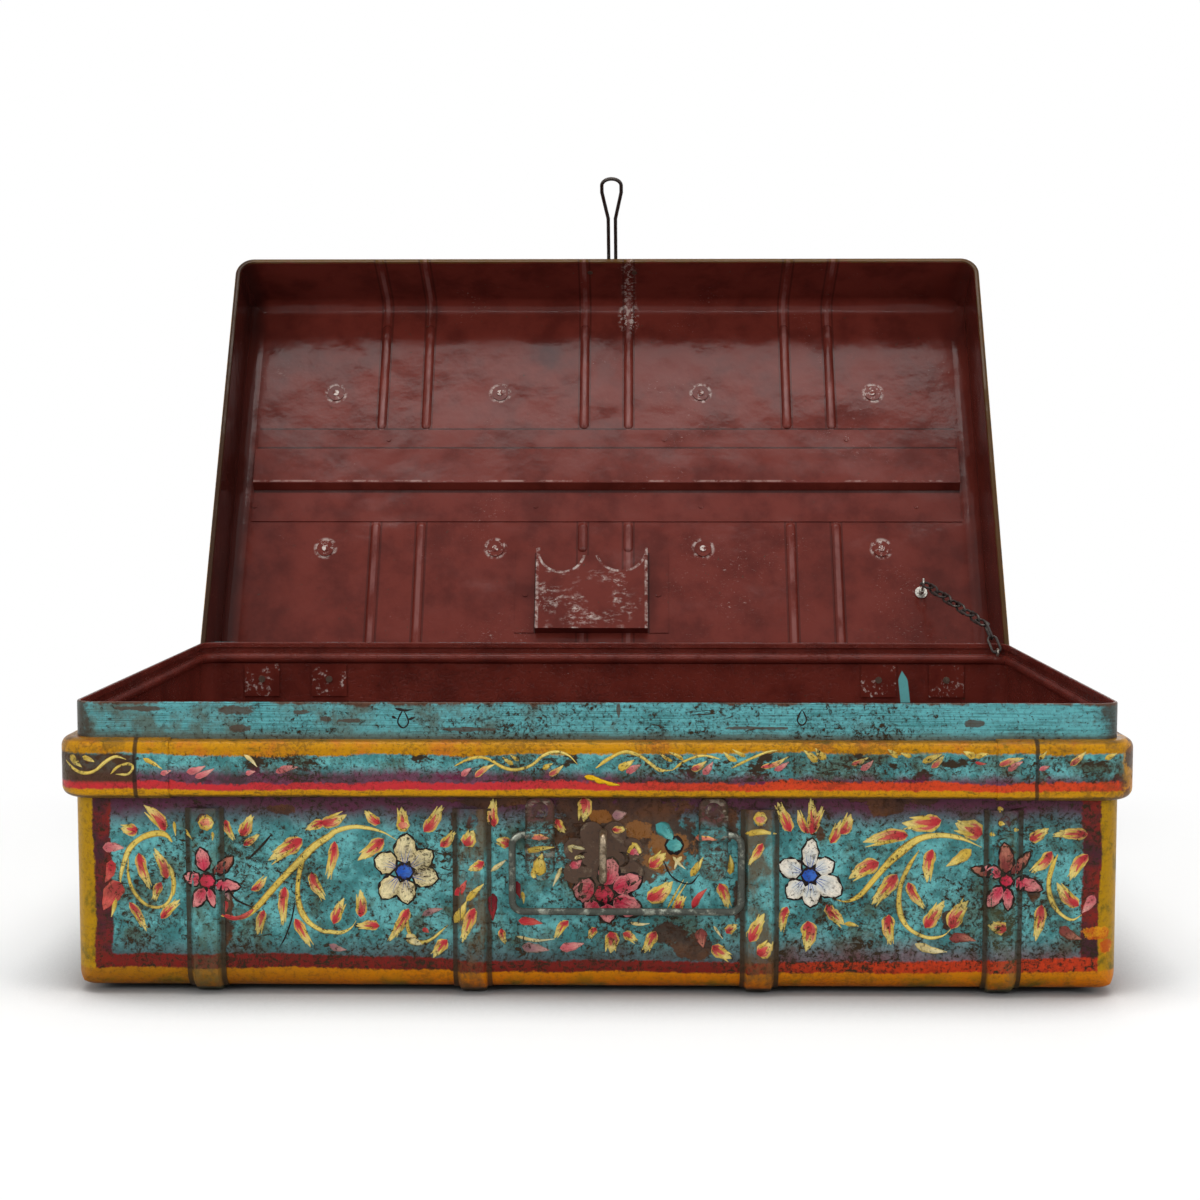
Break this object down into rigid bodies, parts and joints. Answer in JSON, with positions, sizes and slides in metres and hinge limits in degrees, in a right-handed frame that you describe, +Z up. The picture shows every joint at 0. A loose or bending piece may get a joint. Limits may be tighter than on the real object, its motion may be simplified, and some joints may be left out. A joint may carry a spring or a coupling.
{
  "type": "metal trunk",
  "caption": "Painted sheet metal storage trunk with a hinged lid on a stay chain, a hasp and staple and a wire bail handle.",
  "frame": {"origin": "middle of the open trunk's footprint on the ground, below the straps", "axes": "+X to the right along the front, +Y from the front to the back, +Z up"},
  "size_m": [0.6388, 0.6176, 0.5451],
  "materials": {
    "painted_panels": "gloss enamel, worn, with painted flowers and borders",
    "painted_neck": "gloss enamel outside, red oxide inside, worn lip",
    "painted_band": "gloss enamel in stripes with leaf scrolls",
    "painted_straps": "gloss enamel, worn at the edges",
    "painted_lid": "red oxide gloss inside, painted enamel outside",
    "painted_inside": "red oxide gloss, chipped",
    "painted_handle": "gloss enamel, worn to brown",
    "worn_iron": "old brown paint over rust",
    "oxide_hardware": "red oxide gloss, scuffed",
    "grey_steel": "dull, worn",
    "bright_wire": "satin",
    "dark_iron": "blackened"
  },
  "bodies": {
    "base": {"body_wrap": "painted_panels", "end_panel_left": "painted_panels", "end_panel_right": "painted_panels", "neck_front": "painted_neck", "neck_back": "painted_neck", "neck_left": "painted_neck", "neck_right": "painted_neck", "rim_band_front": "painted_band", "rim_band_back": "painted_band", "rim_band_left": "painted_band", "rim_band_right": "painted_band", "rim_corner_caps": "painted_band", "body_strap_1": "painted_straps", "body_strap_2": "painted_straps", "body_strap_3": "painted_straps", "body_strap_4": "painted_straps", "body_strap_rivets": "worn_iron", "handle_lugs": "painted_handle", "lug_rivets": "worn_iron", "lock_plate": "worn_iron", "lock_plate_rivets": "worn_iron", "lock_staple": "worn_iron", "hinge_lower_leaves": "grey_steel", "hinge_lower_rivets": "grey_steel", "hinge_backing_plates": "oxide_hardware", "hinge_pins": "grey_steel", "chain_base_eye": "bright_wire"},
    "lid": {"lid_wrap": "painted_lid", "lid_end_left": "painted_lid", "lid_end_right": "painted_lid", "lid_strap_1": "painted_straps", "lid_strap_2": "painted_straps", "lid_strap_3": "painted_straps", "lid_strap_4": "painted_straps", "lid_strap_rivets": "worn_iron", "burr_washers": "oxide_hardware", "lid_stiffener": "painted_inside", "stiffener_rivets": "oxide_hardware", "lid_pocket": "painted_inside", "pocket_rivets": "oxide_hardware", "hinge_upper_leaves": "grey_steel", "hinge_upper_rivets": "grey_steel", "hasp_plate": "oxide_hardware", "hasp_rivets": "oxide_hardware", "chain_lid_hook": "bright_wire"},
    "hasp": {"hasp_wire": "dark_iron"},
    "bail": {"bail_handle": "painted_handle"},
    "chain_1": {"chain_links_1": "dark_iron"},
    "chain_2": {"chain_links_2": "dark_iron"},
    "chain_3": {"chain_links_3": "dark_iron"},
    "chain_4": {"chain_links_4": "dark_iron"},
    "chain_5": {"chain_links_5": "dark_iron"},
    "chain_6": {"chain_links_6": "dark_iron"}
  },
  "joints": [
    {"name": "lid_hinge", "type": "hinge", "parent": "base", "child": "lid", "pos_m": [0, 0.07786, 0.1574], "axis": [1, 0, 0], "range_deg": [0, 118]},
    {"name": "hasp_swing", "type": "hinge", "parent": "lid", "child": "hasp", "pos_m": [0.005, 0.26002, 0.48169], "axis": [1, 0, 0], "range_deg": [-143, 7]},
    {"name": "bail_swing", "type": "hinge", "parent": "base", "child": "bail", "pos_m": [0.0188, -0.29319, 0.098], "axis": [1, 0, 0], "range_deg": [-95, 0]},
    {"name": "chain_joint_1", "type": "hinge", "parent": "base", "child": "chain_1", "pos_m": [0.3015, 0.06026, 0.1698], "axis": [1, 0, 0], "range_deg": [0, 151]},
    {"name": "chain_joint_2", "type": "hinge", "parent": "chain_1", "child": "chain_2", "pos_m": [0.29408, 0.06957, 0.18976], "axis": [1, 0, 0], "range_deg": [0, 19]},
    {"name": "chain_joint_3", "type": "hinge", "parent": "chain_2", "child": "chain_3", "pos_m": [0.28666, 0.09085, 0.19544], "axis": [1, 0, 0], "range_deg": [-20, 0]},
    {"name": "chain_joint_4", "type": "hinge", "parent": "chain_3", "child": "chain_4", "pos_m": [0.27925, 0.11214, 0.20111], "axis": [1, 0, 0], "range_deg": [-23, 0]},
    {"name": "chain_joint_5", "type": "hinge", "parent": "chain_4", "child": "chain_5", "pos_m": [0.27183, 0.13343, 0.20678], "axis": [1, 0, 0], "range_deg": [-39, 0]},
    {"name": "chain_joint_6", "type": "hinge", "parent": "chain_5", "child": "chain_6", "pos_m": [0.26441, 0.15471, 0.21245], "axis": [1, 0, 0], "range_deg": [-51, 0]}
  ],
  "couplings": [
    {"joint": "chain_joint_1", "follows": "lid_hinge", "ratio": 1.2634},
    {"joint": "chain_joint_2", "follows": "lid_hinge", "ratio": 0.1508},
    {"joint": "chain_joint_3", "follows": "lid_hinge", "ratio": -0.1601},
    {"joint": "chain_joint_4", "follows": "lid_hinge", "ratio": -0.1834},
    {"joint": "chain_joint_5", "follows": "lid_hinge", "ratio": -0.3181},
    {"joint": "chain_joint_6", "follows": "lid_hinge", "ratio": -0.4228}
  ]
}
